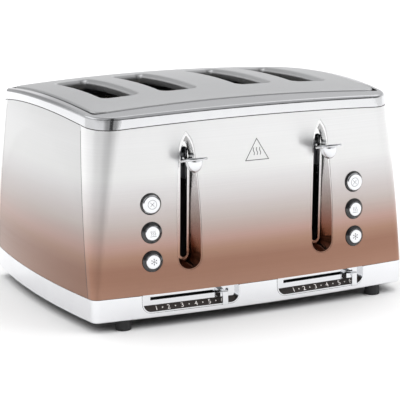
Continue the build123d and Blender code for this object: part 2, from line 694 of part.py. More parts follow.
# ---------------------------------------------------------------- browning controls in the base band
for side, s in (("left", -1), ("right", 1)):
    w, across = window_plane(s), cross_plane(s)
    with BuildPart() as pocket:
        with BuildSketch(w.offset(-9)):
            add(window_outline(1.3, BAND_TOP + 4))
        extrude(amount=14)
        with BuildPart(mode=Mode.PRIVATE) as pocket_section:
            with BuildSketch(across):
                with BuildLine():
                    Polyline((4, 40), (-5.4, 40), (-5.4, 19.4), (-1.3, 14.8), (-1.3, 12), (4, 12), close=True)
                make_face()
            extrude(amount=60, both=True)
        add(pocket_section.part, mode=Mode.INTERSECT)
    with BuildPart() as slider_bezel:
        with BuildSketch(w.offset(-8.4)):
            add(window_outline(0.2, BAND_TOP - 0.1))
        extrude(amount=7.9)
        add(pocket.part, mode=Mode.SUBTRACT)
        with BuildSketch(w.offset(-12)):
            with Locations((0, (SLIDER_SLOT_Z0 + SLIDER_SLOT_Z1) / 2)):
                Rectangle(2 * SLIDER_SLOT_HALF, SLIDER_SLOT_Z1 - SLIDER_SLOT_Z0)
        extrude(amount=20, mode=Mode.SUBTRACT)
    slider_bezel.part.label = f"{side}_slider_bezel"
    PIECES[f"{side}_slider_bezel"] = slider_bezel.part

    with BuildPart() as scale_strip:
        with BuildSketch(across):
            with BuildLine():
                Polyline((-1.25, 14.82), (-5.38, 19.44), (-4.95, 19.75), (-0.85, 15.12), close=True)
            make_face()
        extrude(amount=60, both=True)
        with BuildPart(mode=Mode.PRIVATE) as strip_limit:
            with BuildSketch(w.offset(-9)):
                add(window_outline(1.5, BAND_TOP))
            extrude(amount=14)
        add(strip_limit.part, mode=Mode.INTERSECT)
    scale_strip.part.label = f"{side}_scale_strip"
    PIECES[f"{side}_scale_strip"] = scale_strip.part

    u = (SLIDER_X[s] - s * WIN_C) / w.x_dir.X
    slider_across = Plane(w.origin + w.x_dir * u, x_dir=w.z_dir, z_dir=-w.x_dir)
    with BuildPart() as browning_slider:
        with BuildSketch(slider_across) as tab:
            with BuildLine():
                Polyline((-10.0, 24.9), (-10.0, 26.5), (-4.0, 26.6), (3.4, 27.4), (4.8, 26.4), (4.8, 15.2),
                         (4.2, 14.3), (2.9, 14.3), (2.3, 15.2), (2.3, 24.0), (1.2, 24.9), close=True)
            make_face()
        extrude(amount=2.7, both=True)
        with BuildSketch(Plane(w.origin + w.x_dir * u, x_dir=w.x_dir, z_dir=w.z_dir).offset(-10.2)):
            with Locations((0, 25.7)):
                Rectangle(13, 7)
        extrude(amount=1.4)
        fillet(browning_slider.edges().filter_by(Axis.Z).filter_by(lambda e: e.length > 10), 0.6)
    browning_slider.part.label = f"{side}_browning_slider"
    PIECES[f"{side}_browning_slider"] = browning_slider.part

with BuildPart() as slide_potentiometers:
    for s in (-1, 1):
        with BuildSketch(level(BASE_Z1 + 0.05)):
            with Locations((s * WIN_C, -116.0)):
                Rectangle(84, 6.0)
        extrude(amount=17.0)
        with BuildSketch(Plane((s * WIN_C, -119.0, 25.7), x_dir=(1, 0, 0), z_dir=(0, -1, 0))):
            Rectangle(72, 2.0)
        extrude(amount=-3, mode=Mode.SUBTRACT)
slide_potentiometers.part.label = "slide_potentiometers"
PIECES["slide_potentiometers"] = slide_potentiometers.part

# ---------------------------------------------------------------- control boards behind the buttons
for side, s in (("left", -1), ("right", 1)):
    with BuildPart() as control_board:
        with BuildSketch(Plane((s * 102.5, -112.0, 86), x_dir=(1, 0, 0), z_dir=(0, 1, 0))):
            Rectangle(31, 84)
        extrude(amount=1.6)
        for z in BUTTON_Z:
            p = button_plane(s, z)
            tip = p.origin - p.z_dir * 16
            with BuildSketch(Plane((tip.X, -112.0, tip.Z), x_dir=(1, 0, 0), z_dir=(0, -1, 0))):
                Rectangle(6, 6)
            extrude(amount=1.4)
            with BuildSketch(Plane((tip.X, -113.4, tip.Z), x_dir=(1, 0, 0), z_dir=(0, -1, 0))):
                Circle(1.7)
            extrude(amount=0.8)
        for z in (50, 122):
            with BuildSketch(Plane((s * 113, -110.4, z), x_dir=(1, 0, 0), z_dir=(0, 1, 0))):
                Circle(2.5)
            extrude(amount=110.4 + FRONT_PLATE_Y - 0.05)
        with BuildSketch(Plane((s * 107.5, -110.4, 76), x_dir=(1, 0, 0), z_dir=(0, 1, 0))):
            Rectangle(9, 14)
        extrude(amount=2.2)
        with BuildSketch(Plane((s * 108, -110.4, 97), x_dir=(1, 0, 0), z_dir=(0, 1, 0))):
            Circle(4.0)
        extrude(amount=7.5)
    control_board.part.label = f"{side}_control_board"
    PIECES[f"{side}_control_board"] = control_board.part

# ---------------------------------------------------------------- cord gland and terminal block
with BuildPart() as cord_gland:
    with BuildSketch(Plane((0, 130.0, 19.0), x_dir=(1, 0, 0), z_dir=(0, 1, 0))):
        Circle(5.6)
    extrude(amount=7.0)
    with BuildSketch(Plane((0, 135.25, 19.0), x_dir=(1, 0, 0), z_dir=(0, 1, 0))):
        Circle(7.6)
    extrude(amount=2.2)
    fillet(cord_gland.faces().sort_by(Axis.Y)[-1].edges(), 0.8)
    with BuildSketch(Plane((0, 120.0, 19.0), x_dir=(1, 0, 0), z_dir=(0, 1, 0))):
        Circle(3.6)
    extrude(amount=30, mode=Mode.SUBTRACT)
cord_gland.part.label = "cord_gland"
PIECES["cord_gland"] = cord_gland.part

with BuildPart() as terminal_block:
    with BuildSketch(level(BASE_Z1 + 0.05)):
        with Locations((0, 108)):
            RectangleRounded(18, 14, 1.0)
    extrude(amount=15)
    with BuildSketch(level(BASE_Z1 + 9)):
        with Locations((-5.5, 108), (0, 108), (5.5, 108)):
            Circle(1.9)
    extrude(amount=8, mode=Mode.SUBTRACT)
terminal_block.part.label = "terminal_block"
PIECES["terminal_block"] = terminal_block.part

# ---------------------------------------------------------------- crumb trays, drawn out to the rear
for side, s in (("left", -1), ("right", 1)):
    mid, wide = s * (TRAY_X0 + TRAY_X1) / 2, TRAY_X1 - TRAY_X0
    with BuildPart() as crumb_tray:
        with BuildSketch(level(TRAY_Z0)):
            with Locations((mid, 16.0)):
                Rectangle(wide, 208)
        extrude(amount=TRAY_Z1 - TRAY_Z0)
        with BuildSketch(level(TRAY_Z0 + 0.9)):
            with Locations((mid, 16.0)):
                Rectangle(wide - 1.8, 206.2)
        extrude(amount=10, mode=Mode.SUBTRACT)
        with BuildSketch(level(BASE_Z1 + 0.15)):
            with Locations((mid - 46, 10.0), (mid + 46, 10.0)):
                Rectangle(3.0, 180)
        extrude(amount=TRAY_Z0 - BASE_Z1 - 0.15)
        with BuildPart(mode=Mode.PRIVATE) as handle:
            with BuildSketch(level(12.5)):
                add(outline(0))
                add(outline(0, 2.4), mode=Mode.SUBTRACT)
            extrude(amount=22.4 - 12.5)
            with BuildSketch(Plane((0, 90, 0), x_dir=(1, 0, 0), z_dir=(0, 1, 0))):
                with Locations((mid, -17.45)):
                    RectangleRounded(TRAY_WIN[1] - TRAY_WIN[0] - 1.2, 9.9, 1.6)
            extrude(amount=60, mode=Mode.INTERSECT)
        add(handle.part)
        with BuildSketch(level(TRAY_Z0)):
            with Locations((mid, 122.5)):
                Rectangle(wide - 4, 11)
        extrude(amount=0.9)
        with BuildSketch(level(15.2)) as lip:
            with Locations((mid, 134.5)):
                Rectangle(44, 12)
            fillet(lip.vertices().group_by(Axis.Y)[-1], 4.0)
        extrude(amount=1.8)
    crumb_tray.part.label = f"{side}_crumb_tray"
    PIECES[f"{side}_crumb_tray"] = crumb_tray.part

# ---------------------------------------------------------------- write one STEP per piece
for name, piece in PIECES.items():
    placed = piece.moved(to_row_frame)
    placed.label = name
    export_step(placed, f"parts/{name}.step")
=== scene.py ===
import bpy, bmesh, math
from mathutils import Vector, Matrix


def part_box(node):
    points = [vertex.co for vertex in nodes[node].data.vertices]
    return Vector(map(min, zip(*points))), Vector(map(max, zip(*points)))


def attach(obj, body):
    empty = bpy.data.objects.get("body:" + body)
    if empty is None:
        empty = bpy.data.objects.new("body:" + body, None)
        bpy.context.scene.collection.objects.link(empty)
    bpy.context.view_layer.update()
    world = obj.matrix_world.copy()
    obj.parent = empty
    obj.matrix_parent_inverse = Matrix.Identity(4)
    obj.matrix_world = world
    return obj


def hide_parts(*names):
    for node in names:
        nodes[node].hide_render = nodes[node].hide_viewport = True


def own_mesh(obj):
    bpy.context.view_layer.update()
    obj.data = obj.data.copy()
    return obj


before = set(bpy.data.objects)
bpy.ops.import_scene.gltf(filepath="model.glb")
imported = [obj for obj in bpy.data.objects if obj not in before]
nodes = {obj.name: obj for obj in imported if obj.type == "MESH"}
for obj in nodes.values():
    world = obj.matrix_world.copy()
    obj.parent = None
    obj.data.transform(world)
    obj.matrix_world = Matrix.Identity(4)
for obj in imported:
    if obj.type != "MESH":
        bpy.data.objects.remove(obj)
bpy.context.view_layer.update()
scene = bpy.context.scene

# ------------------------------------------------------------------ camera at the photograph's viewpoint
yaw, pitch, roll = math.radians(-25.437), math.radians(-11.409), math.radians(-1.01)
fwd = Vector((math.sin(-yaw) * math.cos(pitch), math.cos(yaw) * math.cos(pitch), math.sin(pitch)))
right = fwd.cross(Vector((0, 0, 1))).normalized()
up = right.cross(fwd)
c, s = math.cos(roll), math.sin(roll)
right_r, up_r = c * right + s * up, -s * right + c * up
cam_data = bpy.data.cameras.new("camera")
cam_data.sensor_width = 36.0
cam_data.lens = 36.0 * 1685.642 / 400.0
cam_data.clip_end = 50
cam = bpy.data.objects.new("camera", cam_data)
m = Matrix.Identity(4)
for i in range(3):
    m[i][0], m[i][1], m[i][2] = right_r[i], up_r[i], -fwd[i]
m[0][3], m[1][3], m[2][3] = -0.678101, -1.432728, 0.402905
cam.matrix_world = m
scene.collection.objects.link(cam)
scene.camera = cam


# ------------------------------------------------------------------ node material helpers
class Mat:
    """one procedural material: Principled shader plus the nodes that vary it"""

    def __init__(self, name, color=(0.8, 0.8, 0.8), metallic=0.0, rough=0.4, **sockets):
        self.mat = bpy.data.materials.new(name)
        self.mat.use_nodes = True
        self.nt = self.mat.node_tree
        self.bsdf = self.nt.nodes["Principled BSDF"]
        self.bsdf.inputs["Base Color"].default_value = (*color, 1)
        self.bsdf.inputs["Metallic"].default_value = metallic
        self.bsdf.inputs["Roughness"].default_value = rough
        for k, v in sockets.items():
            self.bsdf.inputs[k.replace("_", " ")].default_value = v
        self.mat.diffuse_color = (*color, 1)
        self.coord = self.n("ShaderNodeTexCoord")

    def n(self, kind, **props):
        node = self.nt.nodes.new(kind)
        for k, v in props.items():
            setattr(node, k, v)
        return node

    def link(self, a, b):
        self.nt.links.new(a, b)

    def noise(self, scale=(1, 1, 1), size=1.0, detail=3.0, rough=0.55):
        mp = self.n("ShaderNodeMapping")
        mp.inputs["Scale"].default_value = scale
        self.link(self.coord.outputs["Object"], mp.inputs["Vector"])
        tx = self.n("ShaderNodeTexNoise")
        tx.inputs["Scale"].default_value = size
        tx.inputs["Detail"].default_value = detail
        tx.inputs["Roughness"].default_value = rough
        self.link(mp.outputs["Vector"], tx.inputs["Vector"])
        return tx.outputs["Fac"]

    def spread(self, fac, low, high, from_low=0.25, from_high=0.75):
        mr = self.n("ShaderNodeMapRange")
        mr.inputs["From Min"].default_value = from_low
        mr.inputs["From Max"].default_value = from_high
        mr.inputs["To Min"].default_value = low
        mr.inputs["To Max"].default_value = high
        self.link(fac, mr.inputs["Value"])
        return mr.outputs["Result"]

    def tint(self, color_socket_or_value, factor, blend="MULTIPLY"):
        mx = self.n("ShaderNodeMix", data_type="RGBA", blend_type=blend)
        mx.inputs["Factor"].default_value = 1.0
        a, b = mx.inputs[6], mx.inputs[7]
        if isinstance(color_socket_or_value, tuple):
            a.default_value = (*color_socket_or_value, 1)
        else:
            self.link(color_socket_or_value, a)
        self.link(factor, b)
        return mx.outputs[2]

    def color(self, socket):
        self.link(socket, self.bsdf.inputs["Base Color"])

    def roughness(self, socket):
        self.link(socket, self.bsdf.inputs["Roughness"])

    def bump(self, fac, strength=0.1, distance=0.0002):
        b = self.n("ShaderNodeBump")
        b.inputs["Strength"].default_value = strength
        b.inputs["Distance"].default_value = distance
        self.link(fac, b.inputs["Height"])
        self.link(b.outputs["Normal"], self.bsdf.inputs["Normal"])

    def tangent(self, axis="Z", turn=0.25):
        t = self.n("ShaderNodeTangent", direction_type="RADIAL", axis=axis)
        self.link(t.outputs["Tangent"], self.bsdf.inputs["Tangent"])
        self.bsdf.inputs["Anisotropic Rotation"].default_value = turn

    def ramp(self, fac, stops, mode="EASE"):
        r = self.n("ShaderNodeValToRGB")
        r.color_ramp.interpolation = "LINEAR"
        e = r.color_ramp.elements
        e[0].position, e[0].color = stops[0][0], (*stops[0][1], 1)
        e[1].position, e[1].color = stops[-1][0], (*stops[-1][1], 1)
        for p, col in stops[1:-1]:
            x = e.new(p)
            x.color = (*col, 1)
        self.link(fac, r.inputs["Fac"])
        return r.outputs["Color"]


def lin(r, g, b):
    f = lambda v: (v / 255 / 12.92) if v <= 10 else (((v / 255) + 0.055) / 1.055) ** 2.4
    return (f(r), f(g), f(b))


# ------------------------------------------------------------------ colour fade of the brushed covers
FADE = ((0.033, (175, 135, 116)),
        (0.045, (166, 126, 107)),
        (0.055, (164, 124, 106)),
        (0.065, (178, 141, 122)),
        (0.075, (194, 161, 150)),
        (0.085, (197, 176, 169)),
        (0.095, (205, 194, 189)),
        (0.105, (215, 207, 205)),
        (0.115, (226, 222, 221)),
        (0.125, (237, 235, 235)),
        (0.136, (248, 248, 247)),
        (0.165, (255, 255, 255)),
        (0.192, (255, 255, 255)))


def fade_panel(name, gain=1.0, polished=False, side=False):
    k = Mat(name, metallic=1.0, rough=0.3)
    sep = k.n("ShaderNodeSeparateXYZ")
    k.link(k.coord.outputs["Object"], sep.inputs["Vector"])
    wobble = k.noise((6, 6, 60), 1.0, 2.0)
    add = k.n("ShaderNodeMath", operation="MULTIPLY_ADD")
    k.link(k.spread(wobble, -1, 1), add.inputs[0])
    add.inputs[1].default_value = 0.0012
    k.link(sep.outputs["Z"], add.inputs[2])
    z = k.spread(add.outputs[0], 0, 1, 0.03, 0.192)
    fade = k.ramp(z, [((h - 0.03) / 0.162, tuple(v * gain for v in lin(*col))) for h, col in FADE])
    fine = k.noise((7, 7, 3600), 1.0, 3.0, 0.6)
    broad = k.noise((1.6, 1.6, 900), 1.0, 2.0, 0.5)
    mixed = k.n("ShaderNodeMath", operation="MULTIPLY_ADD")
    k.link(fine, mixed.inputs[0])
    mixed.inputs[1].default_value = 0.6
    k.link(broad, mixed.inputs[2])
    grain = k.spread(mixed.outputs[0], 0.970, 1.020, 0.5, 1.1)
    k.color(k.tint(fade, grain))
    if polished:
        smear = k.noise((60, 60, 60), 1.0, 3.0)
        k.roughness(k.spread(smear, 0.10, 0.17))
        k.bump(smear, 0.02, 0.0001)
        return k.mat
    k.roughness(k.spread(mixed.outputs[0], 0.275, 0.325, 0.5, 1.1))
    k.bump(fine, 0.02, 0.00008)
    k.bsdf.inputs["Anisotropic"].default_value = 0.3 if side else 0.75
    k.tangent("Z", 0.25)
    return k.mat


def chrome(name, color=(0.80, 0.81, 0.83), low=0.03, high=0.09):
    k = Mat(name, color, 1.0, low)
    smear = k.noise((30, 30, 30), 1.0, 4.0)
    k.color(k.tint(color, k.spread(smear, 0.95, 1.0)))
    k.roughness(k.spread(smear, low, high))
    k.bump(k.noise((220, 220, 220), 1.0, 2.0), 0.02, 0.0001)
    return k.mat


def brushed(name, color, scale, low=0.22, high=0.36, tangent=("Y", 0.25), aniso=0.5, grain_low=0.9):
    k = Mat(name, color, 1.0, low)
    fine = k.noise(scale, 1.0, 4.0, 0.65)
    k.color(k.tint(color, k.spread(fine, grain_low, 1.04)))
    k.roughness(k.spread(fine, low, high))
    k.bump(fine, 0.1, 0.0001)
    if tangent:
        k.bsdf.inputs["Anisotropic"].default_value = aniso
        k.tangent(*tangent)
    return k.mat


def plastic(name, color, rough=(0.2, 0.3), grain=900, bump=0.05, spread=(0.85, 1.1), **sockets):
    k = Mat(name, color, 0.0, rough[0], **sockets)
    f = k.noise((grain, grain, grain), 1.0, 3.0)
    wear = k.noise((40, 40, 40), 1.0, 4.0)
    k.color(k.tint(color, k.spread(wear, *spread)))
    k.roughness(k.spread(wear, *rough))
    k.bump(f, bump, 0.0001)
    return k.mat


M = {
    "fade": fade_panel("brushed_fade_panel", 0.90),
    # painted shade: the side panels take the same colour fade at 0.66 gain, darker than the front and rear at 0.90,
    # standing in for the shade on the sides
    "shaded_side_fade": fade_panel("brushed_side_fade_painted_shade", 0.66, side=True),
    "fade_pocket": fade_panel("polished_fade_pocket", 0.80, True),
    "ink": plastic("pale_print", (0.90, 0.87, 0.84), (0.4, 0.5), 900, 0.05, (0.9, 1.05)),
    # this black print material also colours the painted shade bands along the cover seams
    "ink_and_gap_shade": plastic("black_print_and_painted_gap_shade", (0.045, 0.043, 0.042), (0.4, 0.5), 900, 0.05, (0.85, 1.1)),
    "grey_ink": plastic("grey_print", (0.22, 0.22, 0.23), (0.4, 0.5), 900, 0.05, (0.85, 1.1)),
    "chrome": chrome("polished_chrome"),
    "hood": chrome("polished_hood", (0.76, 0.765, 0.78), 0.05, 0.11),
    "band": chrome("polished_band", (0.84, 0.85, 0.87), 0.03, 0.08),
    "plate": brushed("brushed_plate", (0.75, 0.755, 0.76), (16, 2400, 2400), 0.26, 0.40, None),
    "collar": plastic("black_collar", (0.012, 0.012, 0.013), (0.08, 0.16), 600, 0.03, Coat_Weight=0.6, Coat_Roughness=0.05),
    "scale": plastic("black_scale_strip", (0.028, 0.022, 0.020), (0.3, 0.42), 1500, 0.08),
    "rubber": plastic("black_rubber", (0.020, 0.020, 0.021), (0.6, 0.75), 1200, 0.2),
    "zinc": brushed("zinc_steel", (0.42, 0.43, 0.45), (60, 60, 60), 0.35, 0.5, None),
    "dark_zinc": brushed("dark_liner_steel", (0.10, 0.10, 0.105), (80, 80, 80), 0.45, 0.6, None),
    "rod": brushed("rod_steel", (0.55, 0.56, 0.58), (900, 900, 20), 0.18, 0.3, None),
    "mica": plastic("mica_sheet", (0.26, 0.20, 0.13), (0.35, 0.5), 300, 0.15, (0.7, 1.2)),
    "ribbon": brushed("resistance_ribbon", (0.30, 0.25, 0.21), (300, 300, 300), 0.35, 0.5, None),
    "wire": brushed("guide_wire", (0.60, 0.60, 0.61), (300, 300, 300), 0.2, 0.32, None),
    "board": plastic("circuit_board", (0.02, 0.09, 0.04), (0.35, 0.5), 800, 0.1),
    "coil": brushed("magnet_coil", (0.42, 0.17, 0.07), (40, 40, 4000), 0.3, 0.45, None),
    "base": plastic("base_sheet_black", (0.03, 0.03, 0.032), (0.4, 0.55), 900, 0.1),
    "screw": brushed("screw_steel", (0.5, 0.5, 0.52), (500, 500, 60), 0.22, 0.35, None),
}


def dress(names, key):
    for n in names:
        o = nodes[n]
        if not o.material_slots:
            o.data.materials.append(None)
        for sl in o.material_slots:
            sl.material = M[key]


dress(["front_wrap_panel", "rear_wrap_panel"], "fade")
# the side panels wear the darker painted-shade copy of the fade
dress(["left_side_panel", "right_side_panel"], "shaded_side_fade")
dress(["top_hood"], "hood")
dress(["base_band"], "band")
dress(["slot_plate"], "plate")
dress(["base_plate"], "base")
dress(["rubber_feet", "cord_gland"], "rubber")
dress(["base_screws"], "screw")
dress(["left_lever_recess", "right_lever_recess"], "fade_pocket")
dress(["left_lever_knob", "right_lever_knob",
       "left_slider_bezel", "right_slider_bezel"], "chrome")
for s in ("left", "right"):
    dress([f"{s}_carriage_bracket"], "zinc")
    dress([f"{s}_bread_racks"], "wire")
    dress([f"{s}_return_spring"], "rod")
    dress([f"{s}_button_rings"], "collar")
    dress([f"{s}_{b}_button" for b in ("cancel", "reheat", "defrost")], "chrome")
    dress([f"{s}_scale_strip"], "scale")
    dress([f"{s}_browning_slider"], "chrome")
    dress([f"{s}_control_board"], "board")
    dress([f"{s}_crumb_tray"], "zinc")
    dress([f"slot{i}_{s}_bread_guide" for i in (1, 2, 3, 4)], "wire")
dress(["guide_rods"], "rod")
dress(["rod_mounts", "slide_potentiometers", "terminal_block"], "base")
dress(["holding_magnets"], "coil")
dress(["front_chassis_plate", "rear_chassis_plate", "end_heat_shields"], "dark_zinc")
dress(["heater_boards"], "mica")
dress(["heating_ribbons"], "ribbon")

# ------------------------------------------------------------------ floor
floor_mesh = bpy.data.meshes.new("floor")
bm = bmesh.new()
bmesh.ops.create_grid(bm, x_segments=8, y_segments=8, size=6.0)
bm.to_mesh(floor_mesh)
bm.free()
floor = bpy.data.objects.new("floor", floor_mesh)
scene.collection.objects.link(floor)
k = Mat("pale_floor", (0.88, 0.88, 0.88), 0.0, 0.8)
k.color(k.tint((0.90, 0.90, 0.90), k.spread(k.noise((3, 3, 3), 1.0, 2.0), 0.985, 1.0)))
k.bsdf.inputs["Specular IOR Level"].default_value = 0.2
floor.data.materials.append(k.mat)


# ------------------------------------------------------------------ soft studio light
def area(name, loc, target, size, power, shape="RECTANGLE", size_y=None):
    d = bpy.data.lights.new(name, "AREA")
    d.shape = shape
    d.size = size
    d.size_y = size_y or size
    d.energy = power
    o = bpy.data.objects.new(name, d)
    o.location = loc
    o.rotation_euler = (Vector(target) - Vector(loc)).to_track_quat("-Z", "Y").to_euler()
    scene.collection.objects.link(o)
    return o


sun_data = bpy.data.lights.new("soft_sky", "SUN")
sun_data.energy = 2.7
sun_data.angle = math.radians(120)
sun = bpy.data.objects.new("soft_sky", sun_data)
sun.rotation_euler = (math.radians(8), math.radians(6), 0)
scene.collection.objects.link(sun)
for lamp in (sun, area("key_right", (1.5, -1.6, 1.5), (0, 0, 0.1), 0.8, 7),
             area("rim_back", (-0.8, 2.2, 1.6), (0, 0, 0.15), 1.4, 8)):
    lamp.visible_glossy = False

# the room: white low down all round, a dark upper part on the photographer's side, light behind
world = bpy.data.worlds.new("studio")
scene.world = world
world.use_nodes = True
nt = world.node_tree
nt.nodes.clear()


def wn(kind, **props):
    node = nt.nodes.new(kind)
    for key, v in props.items():
        setattr(node, key, v)
    return node


def wramp(socket, stops):
    r = wn("ShaderNodeValToRGB")
    r.color_ramp.interpolation = "LINEAR"
    e = r.color_ramp.elements
    e[0].position, e[0].color = stops[0][0], (stops[0][1],) * 3 + (1,)
    e[1].position, e[1].color = stops[-1][0], (stops[-1][1],) * 3 + (1,)
    for p, v in stops[1:-1]:
        x = e.new(p)
        x.color = (v, v, v * 1.01, 1)
    nt.links.new(socket, r.inputs["Fac"])
    return r.outputs["Color"]


def wstep(socket, a0, a1, b0, b1):
    r = wn("ShaderNodeMapRange", interpolation_type="SMOOTHSTEP")
    for key, v in (("From Min", a0), ("From Max", a1), ("To Min", b0), ("To Max", b1)):
        r.inputs[key].default_value = v
    nt.links.new(socket, r.inputs["Value"])
    return r.outputs["Result"]


def wmix(fac, a_socket, b_socket):
    x = wn("ShaderNodeMix", data_type="RGBA")
    nt.links.new(fac, x.inputs["Factor"])
    for i, v in ((6, a_socket), (7, b_socket)):
        if isinstance(v, float):
            x.inputs[i].default_value = (v, v, v, 1)
        else:
            nt.links.new(v, x.inputs[i])
    return x.outputs[2]


out = wn("ShaderNodeOutputWorld")
bg_cam = wn("ShaderNodeBackground")
bg_cam.inputs["Color"].default_value = (1, 1, 1, 1)
bg_cam.inputs["Strength"].default_value = 1.05
bg_env = wn("ShaderNodeBackground")
mixs = wn("ShaderNodeMixShader")
lp = wn("ShaderNodeLightPath")
tc = wn("ShaderNodeTexCoord")
sep = wn("ShaderNodeSeparateXYZ")
nt.links.new(tc.outputs["Generated"], sep.inputs["Vector"])
front = wramp(sep.outputs["Z"], ((0.0, 0.95), (0.10, 0.90), (0.17, 0.12), (0.36, 0.08), (0.48, 0.36), (0.80, 0.48), (1.0, 0.45)))
back = wramp(sep.outputs["Z"], ((0.0, 0.85), (0.14, 0.85), (0.24, 0.60), (0.46, 0.58), (0.56, 1.10), (0.72, 1.10), (0.85, 0.60), (1.0, 0.42)))
room = wmix(wstep(sep.outputs["Y"], -0.25, 0.20, 0.0, 1.0), front, back)
flat = wn("ShaderNodeVectorMath", operation="MULTIPLY")
flat.inputs[1].default_value = (1, 1, 0)
nt.links.new(tc.outputs["Generated"], flat.inputs[0])
flat_n = wn("ShaderNodeVectorMath", operation="NORMALIZE")
nt.links.new(flat.outputs["Vector"], flat_n.inputs[0])
dot = wn("ShaderNodeVectorMath", operation="DOT_PRODUCT")
dot.inputs[1].default_value = Vector((-0.40, -0.91, 0.0)).normalized()
nt.links.new(flat_n.outputs["Vector"], dot.inputs[0])
dot_back = wn("ShaderNodeVectorMath", operation="DOT_PRODUCT")
dot_back.inputs[1].default_value = Vector((-0.12, 0.99, 0.0)).normalized()
nt.links.new(flat_n.outputs["Vector"], dot_back.inputs[0])
room = wmix(wstep(dot_back.outputs["Value"], 0.88, 0.99, 0.0, 0.6), room, 0.22)
room = wmix(wstep(dot.outputs["Value"], 0.84, 0.975, 0.0, 0.72), room, 0.10)
room = wmix(wstep(dot.outputs["Value"], 0.990, 0.998, 0.0, 0.9), room, 0.03)
nt.links.new(room, bg_env.inputs["Color"])
bg_env.inputs["Strength"].default_value = 1.0
nt.links.new(lp.outputs["Is Camera Ray"], mixs.inputs["Fac"])
nt.links.new(bg_env.outputs[0], mixs.inputs[1])
nt.links.new(bg_cam.outputs[0], mixs.inputs[2])
nt.links.new(mixs.outputs[0], out.inputs["Surface"])
scene.view_settings.view_transform = "Standard"


# ------------------------------------------------------------------ printed marks laid on the CAD surfaces
from mathutils.bvhtree import BVHTree


def tree_of(node):
    me = nodes[node].data
    return BVHTree.FromPolygons([v.co.copy() for v in me.vertices], [tuple(p.vertices) for p in me.polygons])


def new_piece(name, verts, faces, mat, body, smooth=False):
    me = bpy.data.meshes.new(name)
    me.from_pydata(verts, [], faces)
    me.update()
    if smooth:
        me.polygons.foreach_set("use_smooth", [True] * len(me.polygons))
    o = bpy.data.objects.new(name, me)
    scene.collection.objects.link(o)
    me.materials.append(mat)
    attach(o, body)
    return o


def resample(path, step, closed):
    pts = [Vector((p[0], p[1])) for p in path] + ([Vector((path[0][0], path[0][1]))] if closed else [])
    out = []
    for p, q in zip(pts[:-1], pts[1:]):
        n = max(1, int(math.ceil((q - p).length / step)))
        out += [p.lerp(q, j / n) for j in range(n)]
    if not closed:
        out.append(pts[-1])
    return out


def line_mark(name, paths, width, tree, frame_fn, into, mat, body, raised=0.00006):
    """thin raised lines: 2-D paths cast along `into` on the CAD surface and given a little height"""
    verts, faces = [], []
    for path, closed in paths:
        pts = resample(path, width * 1.2, closed)
        n = len(pts)
        rows = []
        for j, p in enumerate(pts):
            a = pts[j - 1] if (closed or j > 0) else pts[j]
            b = pts[(j + 1) % n] if (closed or j < n - 1) else pts[j]
            d1 = (p - a).normalized() if (p - a).length > 1e-9 else (b - p).normalized()
            d2 = (b - p).normalized() if (b - p).length > 1e-9 else d1
            t = (d1 + d2).normalized()
            across = Vector((-t.y, t.x)) * (width / 2 / max(0.5, t.dot(d2)))
            row = []
            for side, h in ((-1, raised), (1, raised), (1, -raised), (-1, -raised)):
                q = frame_fn(p + across * side)
                hit, normal, _, _ = tree.ray_cast(q, into)
                if hit is None:
                    hit, normal = q, -into
                row.append(tuple(hit - into * h))
            rows.append(len(verts))
            verts += row
        last = n if closed else n - 1
        for j in range(last):
            r0, r1 = rows[j], rows[(j + 1) % n]
            for q in range(4):
                q2 = (q + 1) % 4
                faces.append((r0 + q, r0 + q2, r1 + q2, r1 + q))
        if not closed:
            faces.append((rows[0] + 3, rows[0] + 2, rows[0] + 1, rows[0]))
            faces.append((rows[-1], rows[-1] + 1, rows[-1] + 2, rows[-1] + 3))
    return new_piece(name, verts, faces, mat, body)


MM = 0.001
front_tree = tree_of("front_wrap_panel")
tri = [(-10.4, 141.2), (12.5, 141.2), (1.05, 160.3)]
strokes = [([(x * MM, z * MM) for x, z in tri], True)]
for cx in (-2.1, 1.05, 4.2):
    strokes.append(([((cx + 0.55 * math.sin(i / 8 * 2 * math.pi)) * MM, (145.6 + i * 0.85) * MM) for i in range(9)], False))
line_mark("heat_mark", strokes, 0.62 * MM, front_tree, lambda p: Vector((p.x, -0.2, p.y)), Vector((0, 1, 0)), M["ink_and_gap_shade"], "housing")


def arc(cx, cy, r, a0, a1, n=20):
    return [(cx + r * math.cos(math.radians(a0 + (a1 - a0) * i / n)), cy + r * math.sin(math.radians(a0 + (a1 - a0) * i / n))) for i in range(n + 1)]


def icon(kind, size):
    """small generic signs: stop, warm and frost"""
    if kind == "cancel":
        ring = arc(0, 0, 0.62, 0, 360, 28)[:-1]
        return [([(x * size, y * size) for x, y in ring], True),
                ([(-0.28 * size, -0.28 * size), (0.28 * size, 0.28 * size)], False),
                ([(-0.28 * size, 0.28 * size), (0.28 * size, -0.28 * size)], False)]
    if kind == "reheat":
        out_ = []
        for cx in (-0.34, 0.0, 0.34):
            out_.append(([((cx + 0.09 * math.sin(i / 10 * 2 * math.pi)) * size, (-0.35 + 0.08 * i) * size) for i in range(11)], False))
        out_.append(([(-0.55 * size, -0.55 * size), (0.55 * size, -0.55 * size)], False))
        return out_
    out_ = []
    for a in (90, 30, 150):
        x, y = 0.6 * math.cos(math.radians(a)), 0.6 * math.sin(math.radians(a))
        out_.append(([(-x * size, -y * size), (x * size, y * size)], False))
        for sgn in (-1, 1):
            for turn in (-32, 32):
                bx, by = 0.36 * sgn * math.cos(math.radians(a)), 0.36 * sgn * math.sin(math.radians(a))
                dx, dy = 0.2 * sgn * math.cos(math.radians(a + turn)), 0.2 * sgn * math.sin(math.radians(a + turn))
                out_.append(([(bx * size, by * size), ((bx + dx) * size, (by + dy) * size)], False))
    return out_


